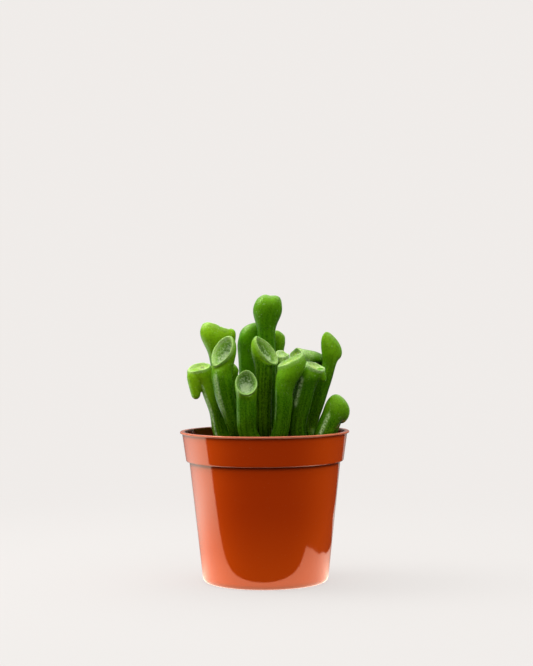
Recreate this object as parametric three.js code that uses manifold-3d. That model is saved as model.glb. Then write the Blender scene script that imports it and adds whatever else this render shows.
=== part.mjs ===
// A potted trumpet jade, a succulent with tubular leaves that each end in a hollowed, trumpet-shaped cup.
// It is a round plastic nursery pot filled with soil, six short stems that stand in the soil, and their leaves.
// Millimetres, +Z up, origin at the centre of the pot's foot. The front of the plant looks along -Y.
import * as THREE from "three";
import { mergeVertices } from "three/addons/utils/BufferGeometryUtils.js";
import Module from "manifold-3d";

const wasm = await Module();
wasm.setup();

// Driving dimensions of the pot
const POT = {
  height: 53.3,
  lipRadius: 30,
  lipHeight: 0.66,
  lipBevel: 0.1,
  bandTopRadius: 29.3,
  bandBottomRadius: 27.9,
  bandHeight: 10.6,
  stepBevel: 0.1,
  bodyTopRadius: 26.8,
  bodyBottomRadius: 22.4,
  cornerRadius: 1.8,
  cornerBend: 0.3,
  wall: 1,
  floor: 1.2,
  innerCorner: 1,
  footRise: 1.4,
  footInnerRadius: 18.2,
  footBevel: 0.6,
  drainHoles: 6,
  drainRadius: 2.3,
  drainCircle: 12.5,
  drillLength: 8,
  drillSides: 12,
  sides: 48,
};
const FIT_GAP = 0.32;

// Driving dimensions of the soil. bump: the height of the uneven places. waves: how fast they come and go.
const SOIL = {
  edgeHeight: 41.6,
  mound: 2.4,
  bump: 0.5,
  waves: { x: 0.55, shift: 1.3, y: 0.47 },
  ripple: { share: 0.6, x: 0.4, y: 0.9 },
  rings: 4,
  ringInset: 0.3,
};

// The stems share these. knots: the share of the height, and 1 for a swollen place or -1 for a thin one.
// foot and bud: the share of the radius, and the distance from the end.
const STEM = {
  buriedTo: 27,
  footRadius: 3.7,
  topRadius: 3,
  swell: 0.28,
  knots: [[0.3, 0], [0.56, 1], [0.64, -1], [0.72, 1], [0.8, -1], [0.88, 1]],
  foot: [[0.75, 0], [1, 1]],
  bud: [[0.85, 1.3], [0.45, 0.3]],
  sides: 12,
};
// Where each stem stands, the height of its top, and how far it leans from its foot
const STEMS = {
  left: { at: [-9.5, -2.5], top: 51.5, lean: [-0.6, 0] },
  front: { at: [0.6, -12], top: 51, lean: [0, -0.4] },
  right: { at: [17, -5], top: 50.5, lean: [0.8, 0] },
  middle: { at: [1, 0.2], top: 53, lean: [0, 0] },
  back_left: { at: [-6, 12], top: 52, lean: [-0.4, 0.5] },
  back_right: { at: [9.5, 11], top: 52, lean: [0.4, 0.5] },
};

// The leaves share these. startShare: where on its route a leaf leaves the stem's axis. footShare: how thin it
// starts, as a share of the body's radius. swellBy: the share of its length where it is full. bulgeBend: how far
// up the head its bulge sits. lipShare: where the top of the lip lies, as a share of the rim's size.
const LEAF = {
  sides: 16,
  bodyRings: 6,
  headRings: 5,
  startShare: 0.06,
  footShare: 0.62,
  swellBy: 0.3,
  seam: 0.1,
  bulge: 0.09,
  bulgeBend: 1.4,
  point: 0.18,
  lip: 0.6,
  lipShare: 0.885,
};
// The cup inside the lip: the share of the rim's size, and of the cup's depth
const BOWL = [[0.75, 0], [0.45, 0.6]];

// The leaves. from: the height where it leaves its stem. by: its route up to the neck. r: the body's radius low
// down and at the neck. cup: the rim's centre. face: the way the cup looks, as degrees round from the front and
// above level. tip: towards the leaf's point. long, wide, deep: the cup's size. lip: the lip's height, and lowLip
// the share of it that is left at the lower end. point, pinch: how far the cup narrows at its tip and at its lower
// end. bulge: how far the head swells. saddle, droop: how far the rim's sides stand up and its lower end hangs.
// close: how fast the opening shortens and narrows, and how far its middle moves to the tip and to one side.
// notches: dents in the rim, each its depth, its place in degrees round from the tip, and half its width.
// lobes: folds of flesh that hang off the rim.
const LEAVES = {
  left_hooked: {
    stem: "left", from: 44.5, by: [[-15.2, -1.6, 52], [-17, -2.6, 61], [-20.2, -3, 70]], r: [3, 2.7],
    cup: [-23, -3.2, 75.6], face: [-20, 64], tip: [-1, 0, -0.2], long: 8.8, wide: 7.4, deep: 1.1,
    lip: 0.8, close: [1.8, 1.5, -0.4, 0],
    lobes: [{ from: [-24.5, -3.4, 72.4], to: [-24.2, -3.9, 66.4], r: [3.1, 1.7] }],
  },
  left_slit: {
    stem: "left", from: 48.5, by: [[-9.8, -8.9, 54], [-13.5, -9.5, 65], [-14.8, -9.8, 72.5]], r: [2.6, 3.8],
    cup: [-14.5, -10.6, 81.6], face: [-38, 28], tip: [0.32, 0, 1], long: 12.6, wide: 9.4, deep: 2.6,
    lip: 0.9, lowLip: 0.4, point: 0.12, pinch: 0.5, bulge: 0.02, close: [1.15, 1.9, 0, -0.25],
  },
  left_wide: {
    stem: "back_left", from: 48, by: [[-11.8, 11.6, 54], [-14.6, 10.6, 68], [-16.7, 9.8, 80]], r: [3, 3.2],
    cup: [-16.7, 9.6, 89.2], face: [150, 62], tip: [-1, 0, 0.25], long: 12.4, wide: 7.8, deep: 2.4,
    lip: 1, notches: [[0.8, 146, 12], [1.3, 104, 24]],
    lobes: [{ from: [-12.4, 9.4, 85.6], to: [-12, 9, 87.7], r: [2.3, 1.95] }],
  },
  left_short: {
    stem: "middle", from: 47.5, by: [[-5.8, 2, 53], [-10.8, 2.6, 63], [-12, 2.8, 70]], r: [2.5, 2.6],
    cup: [-11.9, 3, 75.2], face: [150, 40], tip: [0, 0, 1], long: 7, wide: 5.8, deep: 1.6,
  },
  middle_bowed: {
    stem: "back_left", from: 49.5, by: [[-3, 15.4, 55], [-5.6, 15.4, 67], [-6.2, 14.8, 79]], r: [3, 3.4],
    cup: [-4.6, 14.6, 87.5], face: [185, 42], tip: [0.55, 0, 1], long: 11, wide: 8.4, deep: 2, lip: 0.9,
  },
  middle_top: {
    stem: "middle", from: 50.5, by: [[1.4, 6, 55], [1.2, 7, 74], [0.8, 7.2, 88]], r: [3, 3.3],
    cup: [1.7, 8, 97.9], face: [170, 42], tip: [-0.1, 0, 1], long: 9.6, wide: 10, deep: 2.4,
    lip: 0.9, point: 0.04, bulge: 0.15, notches: [[0.9, 29, 9], [-0.8, 56, 18], [-0.2, -4, 20]],
  },
  middle_spoon: {
    stem: "middle", from: 48.5, by: [[-0.5, -5.8, 53.6], [-0.4, -6.4, 66], [-0.1, -6.8, 75.6]], r: [2.9, 3.2],
    cup: [0.5, -7.4, 81.7], face: [52, 31], tip: [-0.65, 0, 0.76], long: 12.8, wide: 7.8, deep: 2.6,
    lip: 0.9, lowLip: 0.6, pinch: -0.25, bulge: 0.03, close: [1.1, 1.7, 0, 0.25],
  },
  middle_bud: {
    stem: "middle", from: 50, by: [[6.6, -1, 55], [7, -1.4, 66], [6.7, -1.6, 76]], r: [2.2, 2.2],
    cup: [6.5, -1.9, 79.9], face: [10, 58], tip: [1, 0.3, 0], long: 5.5, wide: 5.3, deep: 0.4,
    lip: 1.1, close: [2.4, 3.2, 0, 0], notches: [[0.4, 35, 22], [0.3, 170, 26]],
  },
  front_cup: {
    stem: "front", from: 46.5, by: [[-5.6, -14, 53], [-6.2, -15.2, 60], [-6.2, -15.6, 65.2]], r: [3.5, 3.5],
    cup: [-6.3, -17, 70.8], face: [6, 28], tip: [0.15, 0, 1], long: 10, wide: 8, deep: 2.6, bulge: 0.03,
  },
  front_flared: {
    stem: "front", from: 47, by: [[5.1, -13.4, 53], [6.4, -13.6, 61], [6.6, -13.6, 67.6]], r: [2.8, 3.3],
    cup: [9.2, -13, 78.2], face: [-67, 65], tip: [0.91, 0.1, 0.4], long: 10.4, wide: 7.8, deep: 0.9,
    lip: 0.7, pinch: -0.1, bulge: 0.2, droop: 0.5, close: [1.5, 2.2, 0, 0.3],
  },
  right_flat: {
    stem: "right", from: 44.5, by: [[11.2, -7.8, 52.4], [12.4, -8, 62], [14.5, -8.2, 70.5]], r: [3.2, 3.8],
    cup: [18, -8.4, 75.9], face: [52, 63], tip: [1, 0, -0.55], long: 7.4, wide: 6.8, deep: 0.9,
    lip: 0.7, close: [1.5, 1.3, 0, 0.1],
    lobes: [{ from: [19.6, -8.7, 73.8], to: [20.6, -8.9, 72], r: [2.1, 1.3] }],
  },
  right_tall: {
    stem: "right", from: 48.5, by: [[15.8, 1.2, 54], [19.4, 0.7, 65], [22.8, 0.4, 75.5]], r: [2.9, 2.5],
    cup: [24.1, 0.6, 83.2], face: [140, 26], tip: [-0.26, 0, 0.9], long: 11.4, wide: 4.8, deep: 2,
    lip: 0.9, point: 0.5, bulge: 0.02, saddle: 1.1,
  },
  right_low: {
    stem: "right", from: 46, by: [[20.2, -8.6, 51.6], [21.7, -7.8, 54.8], [23.2, -7.2, 57.8]], r: [3.3, 3.6],
    cup: [26, -5.6, 61.1], face: [150, 16], tip: [-0.15, 0, 1], long: 11, wide: 7.8, deep: 2.2,
    lip: 1, bulge: 0.06, saddle: 0.6,
  },
  right_arched: {
    stem: "back_right", from: 46.5, by: [[15.5, 7.9, 53], [19.3, 7.3, 66], [21.3, 6.4, 76]], r: [2.3, 2.8],
    cup: [11.9, 3.2, 79.9], face: [-54, 22], tip: [-0.2, 0, 1], long: 5.6, wide: 6.4, deep: 0.2,
    lip: 1.1, bulge: 0.2, close: [4, 1.9, 0.15, 0.1],
  },
  back_tip: {
    stem: "back_right", from: 50.5, by: [[4.8, 12.2, 54.6], [4.8, 14, 70], [4.7, 15.4, 81]], r: [2.2, 2.4],
    cup: [4.9, 16.4, 86], face: [160, 44], tip: [0, 0, 1], long: 7.4, wide: 5.8, deep: 1.6,
  },
  // Behind these, where the front view doesn't reach
  back_fill: {
    stem: "back_right", from: 49.6, by: [[9.2, 4.4, 53.6], [12.15, 0.9, 64], [13.2, -1.3, 72.6]], r: [2.2, 2.6],
    cup: [13.5, -2.1, 76.4], face: [0, 60], tip: [0, 1, 0.3], long: 6, wide: 5.6, deep: 1.5,
  },
  back_centre: {
    stem: "back_right", from: 46.5, by: [[7.4, 18.8, 52.6], [3, 22, 64], [1.6, 22.8, 73]], r: [2.7, 3.1],
    cup: [1.2, 23, 79.4], face: [-20, 34], tip: [0, 0.6, 1], long: 9.6, wide: 7, deep: 2.2,
  },
  back_right: {
    stem: "back_right", from: 44.5, by: [[15.3, 15, 50.6], [17.5, 18.4, 57.6], [18.7, 19.8, 62.5]], r: [2.6, 3.1],
    cup: [19.5, 20.3, 67], face: [-40, 55], tip: [0.7, 0.7, 0.3], long: 8.4, wide: 7.4, deep: 2,
  },
  back_far_right: {
    stem: "right", from: 45.5, by: [[22.6, -1.4, 50.8], [25, 2.4, 55.4], [25.9, 4.4, 58.4]], r: [1.9, 2.4],
    cup: [26.2, 5.2, 61], face: [-30, 60], tip: [0.4, 0.8, 0], long: 5.6, wide: 5.2, deep: 1.4,
  },
  back_left_low: {
    stem: "back_left", from: 45, by: [[-9, 18.6, 51.6], [-12, 21.2, 57.6], [-13.2, 22.2, 62.5]], r: [2.9, 3.2],
    cup: [-14, 22.6, 67.4], face: [-10, 52], tip: [-0.4, 0.9, 0.3], long: 9, wide: 7.4, deep: 2.2,
  },
  back_left_side: {
    stem: "back_left", from: 44.5, by: [[-10.2, 5.6, 50.8], [-15.8, 4.4, 59], [-18.4, 4.7, 66.5]], r: [2.5, 2.7],
    cup: [-18.9, 4.9, 71], face: [60, 52], tip: [-0.8, 0.6, 0.3], long: 6.8, wide: 6.2, deep: 1.7,
  },
};

// A closed mesh as a manifold solid.
function solidOf(geometry) {
  const bare = new THREE.BufferGeometry().setAttribute("position", geometry.getAttribute("position"));
  bare.setIndex(geometry.getIndex());
  const merged = mergeVertices(bare, 1e-4);
  return new wasm.Manifold(
    new wasm.Mesh({
      numProp: 3,
      vertProperties: new Float32Array(merged.attributes.position.array),
      triVerts: new Uint32Array(merged.index.array),
    }),
  );
}

// A manifold solid as a mesh geometry.
function geometryOf(solid) {
  const { vertProperties, triVerts } = solid.getMesh();
  const geometry = new THREE.BufferGeometry();
  geometry.setAttribute("position", new THREE.BufferAttribute(new Float32Array(vertProperties), 3));
  geometry.setIndex(new THREE.BufferAttribute(new Uint32Array(triVerts), 1));
  geometry.computeVertexNormals();
  return geometry;
}

// A closed skin over rings of points that run from one end of the shape to the other, with a point at each end.
function skin(first, rings, last) {
  const sides = rings[0].length;
  const positions = [first, ...rings.flat(), last].flatMap((p) => [p.x, p.y, p.z]);
  const indices = [];
  const end = 1 + rings.length * sides;
  for (let i = 0; i < sides; i++) {
    const j = (i + 1) % sides;
    indices.push(0, 1 + j, 1 + i);
    for (let k = 0; k + 1 < rings.length; k++) {
      const low = 1 + k * sides;
      const high = low + sides;
      indices.push(low + i, low + j, high + j, low + i, high + j, high + i);
    }
    indices.push(end, end - sides + i, end - sides + j);
  }
  const geometry = new THREE.BufferGeometry();
  geometry.setAttribute("position", new THREE.Float32BufferAttribute(positions, 3));
  geometry.setIndex(indices);
  return geometry;
}

// The part of a vector that lies across an axis, at unit length.
function across(vector, axis) {
  return vector.clone().addScaledVector(axis, -vector.dot(axis)).normalize();
}

// An outline of [radius, height] points from the axis below to the axis above, moved outwards by a gap.
function outset(outline, gap) {
  return outline.map(([r, z], i) => {
    const ends = [outline.slice(i - 1, i + 1), outline.slice(i, i + 2)].filter((pair) => pair.length === 2);
    const normals = ends.map(([a, b]) => new THREE.Vector2(b[1] - a[1], a[0] - b[0]).normalize());
    if (normals.length === 1) return [0, z + gap / normals[0].y];
    const middle = normals[0].clone().add(normals[1]).normalize();
    const reach = gap / middle.dot(normals[0]);
    return [r + middle.x * reach, z + middle.y * reach];
  });
}

function ringRound(centre, radius, sides) {
  return Array.from({ length: sides }, (_, i) => {
    const a = (i / sides) * 2 * Math.PI;
    return new THREE.Vector3(centre.x + radius * Math.cos(a), centre.y + radius * Math.sin(a), centre.z);
  });
}

// The pot: one wall turned round the axis, with its lip, band, step, rounded corner and raised floor
const POT_STEP = POT.height - POT.bandHeight;
const POT_INSIDE = [
  [0, POT.floor + POT.footRise],
  [POT.bodyBottomRadius - POT.wall - POT.innerCorner, POT.floor + POT.footRise],
  [POT.bodyBottomRadius - POT.wall, POT.floor + POT.footRise + POT.innerCorner],
  [POT.bodyTopRadius - POT.wall, POT_STEP - POT.stepBevel + POT.wall],
  [POT.bandBottomRadius - POT.wall, POT_STEP + POT.wall],
  [POT.bandTopRadius - POT.wall, POT.height],
];

function potSolid() {
  const corner = POT.cornerRadius;
  const outside = [
    [0, POT.footRise],
    [POT.footInnerRadius, POT.footRise],
    [POT.footInnerRadius + POT.footBevel, 0],
    [POT.bodyBottomRadius - corner, 0],
    [POT.bodyBottomRadius - corner * POT.cornerBend, corner * POT.cornerBend],
    [POT.bodyBottomRadius, corner],
    [POT.bodyTopRadius, POT_STEP - POT.stepBevel],
    [POT.bandBottomRadius, POT_STEP],
    [POT.bandTopRadius, POT.height - POT.lipHeight - POT.lipBevel],
    [POT.lipRadius, POT.height - POT.lipHeight],
    [POT.lipRadius, POT.height],
  ];
  const points = [...outside, ...POT_INSIDE.toReversed()].map(([r, z]) => new THREE.Vector2(r, z));
  let solid = solidOf(new THREE.LatheGeometry(points, POT.sides).rotateX(Math.PI / 2));
  for (let k = 0; k < POT.drainHoles; k++) {
    const angle = ((k + 0.5) / POT.drainHoles) * 2 * Math.PI;
    const drill = new THREE.CylinderGeometry(POT.drainRadius, POT.drainRadius, POT.drillLength, POT.drillSides);
    drill.rotateX(Math.PI / 2);
    drill.translate(POT.drainCircle * Math.cos(angle), POT.drainCircle * Math.sin(angle), POT.footRise);
    solid = solid.subtract(solidOf(drill));
  }
  return solid;
}

// The stems: rings up a leaning axis, swollen a little at each node, with a rounded bud on top
function stemAxis({ at, top, lean }, z) {
  const share = (z - STEM.buriedTo) / (top - STEM.buriedTo);
  return new THREE.Vector3(at[0] + lean[0] * share, at[1] + lean[1] * share, z);
}

function stemSolid(stem, gap = 0) {
  const { buriedTo, footRadius, topRadius, swell } = STEM;
  const span = stem.top - buriedTo;
  const foot = STEM.foot.map(([share, above]) => [footRadius * share, buriedTo + above]);
  const knots = STEM.knots.map(([share, side]) => {
    return [footRadius + (topRadius - footRadius) * share + swell * side, buriedTo + span * share];
  });
  const bud = STEM.bud.map(([share, below]) => [topRadius * share, stem.top - below]);
  const outline = [[0, buriedTo], ...foot, ...knots, ...bud, [0, stem.top]];
  const [[, low], ...round] = outset(outline, gap);
  const [, high] = round.pop();
  const rings = round.map(([radius, z]) => ringRound(stemAxis(stem, z), radius, STEM.sides));
  return solidOf(skin(stemAxis(stem, low), rings, stemAxis(stem, high)));
}

// The soil: a plug that fits the pot's inside, with a low uneven mound on top and a plain hole for each stem
function soilTop(x, y) {
  const out = Math.min(1, Math.hypot(x, y) / (POT.bodyTopRadius - POT.wall));
  const { waves, ripple } = SOIL;
  const slow = Math.sin(waves.x * x + waves.shift) * Math.cos(waves.y * y);
  const bumps = slow + ripple.share * Math.sin(ripple.x * x + ripple.y * y);
  return SOIL.edgeHeight + SOIL.mound * (1 - out * out) + SOIL.bump * bumps * (1 - out ** 4);
}

function soilSolid(stems) {
  const [, corner, low, high] = POT_INSIDE;
  const share = (SOIL.edgeHeight - low[1]) / (high[1] - low[1]);
  const edge = [low[0] + (high[0] - low[0]) * share, SOIL.edgeHeight];
  const [[, bottom], ...round] = outset([POT_INSIDE[0], corner, low, edge, high], -FIT_GAP).slice(0, 4);
  const rings = round.map(([radius, z]) => ringRound(new THREE.Vector3(0, 0, z), radius, POT.sides));
  for (let k = SOIL.rings; k > 0; k--) {
    const ring = ringRound(new THREE.Vector3(), (edge[0] * (k - SOIL.ringInset)) / SOIL.rings, POT.sides);
    ring.forEach((p) => (p.z = soilTop(p.x, p.y)));
    rings.push(ring);
  }
  const plug = solidOf(skin(new THREE.Vector3(0, 0, bottom), rings, new THREE.Vector3(0, 0, soilTop(0, 0))));
  return stems.reduce((solid, stem) => solid.subtract(stemSolid(stem, FIT_GAP)), plug);
}

// A leaf: a tube from the stem up to the neck, a head that opens and turns to the rim, and the cup inside it
function facing([round, above]) {
  const a = THREE.MathUtils.degToRad(round);
  const e = THREE.MathUtils.degToRad(above);
  return new THREE.Vector3(Math.sin(a) * Math.cos(e), -Math.cos(a) * Math.cos(e), Math.sin(e));
}

// How far an angle in radians lies from a place in degrees, the short way round.
function degreesBetween(angle, place) {
  return Math.abs(THREE.MathUtils.euclideanModulo(THREE.MathUtils.radToDeg(angle) - place + 180, 360) - 180);
}

// One ring across `normal`: u points to the leaf's back, and a negative cosine is the grooved side. open: how
// far the head has opened. spread: the same, and less again inside the rim. lift: how far it stands above the rim.
function leafRing(leaf, { centre, normal, u, long, wide, groove = 0, open = 0, spread = 0, lift = 0 }) {
  const { point = LEAF.point, pinch = 0, saddle = 0, droop = 0, lowLip = 1, notches = [] } = leaf;
  const v = new THREE.Vector3().crossVectors(normal, u);
  return Array.from({ length: LEAF.sides }, (_, i) => {
    const a = (i / LEAF.sides) * 2 * Math.PI;
    const back = Math.max(0, Math.cos(a));
    const front = Math.max(0, -Math.cos(a));
    const seam = 1 - groove * front ** 8;
    const narrow = (1 - point * open * back ** 2) * (1 - pinch * open * front ** 2);
    const dents = notches.map(([depth, at, half]) => depth * Math.exp(-((degreesBetween(a, at) / half) ** 2)));
    const dent = spread ** 2 * dents.reduce((sum, depth) => sum + depth, 0);
    const shaped = (saddle * Math.sin(a) ** 2 - droop * front ** 2) * spread ** 3;
    const lowered = (1 - lowLip) * Math.max(0, lift) * front ** 2;
    return centre
      .clone()
      .addScaledVector(u, Math.cos(a) * (long * seam - dent))
      .addScaledVector(v, Math.sin(a) * (wide * narrow - dent))
      .addScaledVector(normal, lift - lowered + shaped - dent / 2);
  });
}

function leafRings(leaf) {
  const start = stemAxis(STEMS[leaf.stem], leaf.from);
  const route = new THREE.CatmullRomCurve3([start, ...leaf.by.map((p) => new THREE.Vector3(...p))]);
  const face = facing(leaf.face);
  const tip = new THREE.Vector3(...leaf.tip);
  const neck = route.getPoint(1);
  const up = route.getTangent(1);
  const neckBack = across(tip.clone().sub(face), up);
  const rimBack = across(tip, face);
  const side = new THREE.Vector3().crossVectors(face, rimBack);
  const [low, high] = leaf.r;
  const [long, wide] = [leaf.long / 2, leaf.wide / 2];
  const rings = [];
  for (let k = 0; k < LEAF.bodyRings; k++) {
    const share = k / (LEAF.bodyRings - 1);
    const along = LEAF.startShare + (1 - LEAF.startShare) * share;
    const tangent = route.getTangent(along);
    const swell = Math.min(1, share / LEAF.swellBy);
    const radius = (low + (high - low) * share) * (LEAF.footShare + (1 - LEAF.footShare) * swell);
    rings.push(
      leafRing(leaf, {
        centre: route.getPoint(along), normal: tangent, u: across(neckBack, tangent),
        long: radius, wide: radius, groove: LEAF.seam * share ** 2,
      }),
    );
  }
  const rim = new THREE.Vector3(...leaf.cup);
  const reach = neck.distanceTo(rim);
  for (let k = 1; k <= LEAF.headRings; k++) {
    const s = k / LEAF.headRings;
    const centre = hermite(neck, up.clone().multiplyScalar(reach), rim, face.clone().multiplyScalar(reach), s);
    const normal = up.clone().lerp(face, s).normalize();
    const open = s * s * (3 - 2 * s);
    const bulge = 1 + (leaf.bulge ?? LEAF.bulge) * Math.sin(Math.PI * s ** LEAF.bulgeBend);
    rings.push(
      leafRing(leaf, {
        centre, normal, u: across(neckBack.clone().lerp(rimBack, s), normal),
        long: (high + (long - high) * open) * bulge, wide: (high + (wide - high) * open) * bulge,
        groove: LEAF.seam * (1 - s), open, spread: open,
      }),
    );
  }
  const [shorten, narrow, forward, sideways] = leaf.close ?? [1, 1, 0, 0];
  const bowl = BOWL.map(([share, sunk]) => [share, -sunk * leaf.deep]);
  const centreAt = (length, width) => {
    return rim
      .clone()
      .addScaledVector(rimBack, forward * long * (1 - length))
      .addScaledVector(side, sideways * wide * (1 - width));
  };
  for (const [share, lift] of [[LEAF.lipShare, leaf.lip ?? LEAF.lip], ...bowl]) {
    const [length, width] = [share ** shorten, share ** narrow];
    rings.push(
      leafRing(leaf, {
        centre: centreAt(length, width), normal: face, u: rimBack, long: long * length, wide: wide * width,
        open: 1, spread: share, lift,
      }),
    );
  }
  return { rings, floor: centreAt(0, 0).addScaledVector(face, -leaf.deep) };
}

function hermite(p0, m0, p1, m1, s) {
  const point = new THREE.Vector3();
  point.addScaledVector(p0, 2 * s ** 3 - 3 * s ** 2 + 1).addScaledVector(m0, s ** 3 - 2 * s ** 2 + s);
  return point.addScaledVector(p1, -2 * s ** 3 + 3 * s ** 2).addScaledVector(m1, s ** 3 - s ** 2);
}

// A fold of flesh that hangs off the rim: a thick rounded tongue.
function lobeSolid({ from, to, r }) {
  const ends = [from, to].map((p) => new THREE.Vector3(...p));
  const axis = ends[1].clone().sub(ends[0]).normalize();
  const u = across(new THREE.Vector3(0, -1, 0), axis);
  // Each ring: its end, how far beyond that end's centre it lies and how wide it is, as shares of the radius.
  const rings = [[0, -0.75, 0.65], [0, 0, 1], [1, 0, 1], [1, 0.75, 0.65]].map(([end, beyond, share]) => {
    const centre = ends[end].clone().addScaledVector(axis, beyond * r[end]);
    return leafRing({}, { centre, normal: axis, u, long: r[end] * share, wide: r[end] * share });
  });
  return solidOf(skin(ends[0].addScaledVector(axis, -r[0]), rings, ends[1].addScaledVector(axis, r[1])));
}

function leafSolid(leaf) {
  const { rings, floor } = leafRings(leaf);
  const foot = rings[0].reduce((sum, p) => sum.add(p), new THREE.Vector3()).divideScalar(LEAF.sides);
  let whole = solidOf(skin(foot, rings, floor));
  for (const lobe of leaf.lobes ?? []) whole = whole.add(lobeSolid(lobe));
  const cut = whole.subtract(stemSolid(STEMS[leaf.stem], FIT_GAP));
  return cut.decompose().reduce((big, piece) => (piece.volume() > big.volume() ? piece : big));
}

// The materials
const potMaterial = new THREE.MeshStandardMaterial({ color: 0xb04a1a, roughness: 0.25, metalness: 0 });
const soilMaterial = new THREE.MeshStandardMaterial({ color: 0x3a281c, roughness: 0.95, metalness: 0 });
const stemMaterial = new THREE.MeshStandardMaterial({ color: 0x6d7a3c, roughness: 0.7, metalness: 0 });
const leafMaterial = new THREE.MeshStandardMaterial({ color: 0x4c8c1c, roughness: 0.35, metalness: 0 });

// The whole plant in its pot
const plant = new THREE.Group();

function add(name, solid, material) {
  const mesh = new THREE.Mesh(geometryOf(solid), material);
  mesh.name = name;
  plant.add(mesh);
}

add("pot", potSolid(), potMaterial);
add("soil", soilSolid(Object.values(STEMS)), soilMaterial);
for (const [name, stem] of Object.entries(STEMS)) add("stem_" + name, stemSolid(stem), stemMaterial);
for (const [name, leaf] of Object.entries(LEAVES)) add("leaf_" + name, leafSolid(leaf), leafMaterial);

export default plant;
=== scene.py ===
"""A potted trumpet jade: its plastic pot, its soil, its stems and its cupped leaves, in a pale studio."""

import math

import bpy
from bpy.props import FloatProperty, FloatVectorProperty, IntProperty, PointerProperty
from mathutils import Matrix, Vector, noise
from mathutils.kdtree import KDTree


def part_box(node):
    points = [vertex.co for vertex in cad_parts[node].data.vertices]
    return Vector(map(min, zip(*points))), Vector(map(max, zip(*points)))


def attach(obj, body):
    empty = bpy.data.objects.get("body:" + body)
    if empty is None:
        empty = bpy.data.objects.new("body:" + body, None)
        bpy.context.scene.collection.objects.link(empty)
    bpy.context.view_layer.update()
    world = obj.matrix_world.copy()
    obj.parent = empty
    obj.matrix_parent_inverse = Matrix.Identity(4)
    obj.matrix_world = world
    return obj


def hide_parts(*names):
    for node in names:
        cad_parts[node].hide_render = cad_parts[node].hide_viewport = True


bl_info = {
    "name": "Potted trumpet jade",
    "version": (1, 0, 0),
    "blender": (4, 5, 0),
    "location": "3D View > Sidebar > Trumpet jade",
    "description": "Models a potted trumpet jade and the pale studio that it stands in",
    "category": "Add Mesh",
}

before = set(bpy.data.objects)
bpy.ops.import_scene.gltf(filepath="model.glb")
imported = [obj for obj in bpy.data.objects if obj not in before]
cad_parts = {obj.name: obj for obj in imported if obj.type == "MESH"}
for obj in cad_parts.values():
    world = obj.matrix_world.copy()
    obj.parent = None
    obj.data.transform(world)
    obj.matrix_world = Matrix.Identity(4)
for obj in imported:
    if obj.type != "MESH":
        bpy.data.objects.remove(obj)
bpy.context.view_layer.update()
POT_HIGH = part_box("pot")[1]
BODY = "root"

# The tables below are in millimetres, and Blender's unit is the metre
MM = 0.001
UP = Vector((0, 0, 1))
RIGHT = Vector((1, 0, 0))

# The stems: where each stands, the height of its top, and how far it leans from its foot
STEM_FOOT = 27
STEMS = {
    "left": dict(at=(-9.5, -2.5), top=51.5, lean=(-0.6, 0)),
    "front": dict(at=(0.6, -12), top=51, lean=(0, -0.4)),
    "right": dict(at=(17, -5), top=50.5, lean=(0.8, 0)),
    "middle": dict(at=(1, 0.2), top=53, lean=(0, 0)),
    "back_left": dict(at=(-6, 12), top=52, lean=(-0.4, 0.5)),
    "back_right": dict(at=(9.5, 11), top=52, lean=(0.4, 0.5)),
}

# Every stem's radius low down and high up, its rounded growing tip, and the angles of the tip's rings
STEM_LOW_RADIUS, STEM_HIGH_RADIUS = 3.7, 3
STEM_TIP_HEIGHT, STEM_TIP_RADIUS = 1.4, 2.2
STEM_TIP_TURNS = (25, 50, 75)
STEM_RINGS = 34
# The swollen nodes of a stem: how far each stands out, how many fit on a stem, and the share where they begin
NODE_SWELL, NODES, NODES_FROM = 0.28, 12.5, 0.45
# The last share of a stem's height, over which it narrows, and the share of its radius that it loses there
SHOULDER, SHOULDER_LOSS = 0.1, 0.25

# The outline of the white sheet under the pot, whose front edge lies close before the pot
SHEET_OUTLINE = (
    (-300, -12), (-186, -17), (-112, -24), (-77, -26), (-36, -27.5), (-13, -29), (5, -30), (21, -30.3),
    (47, -31), (58, -30.5), (61, -17), (57, -1), (59, 10), (55, 21), (52, 44), (47, 75), (85, 112), (95, 200),
    (141, 260), (198, 310), (300, 420), (300, 900), (-900, 900), (-900, 20),
)

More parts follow.
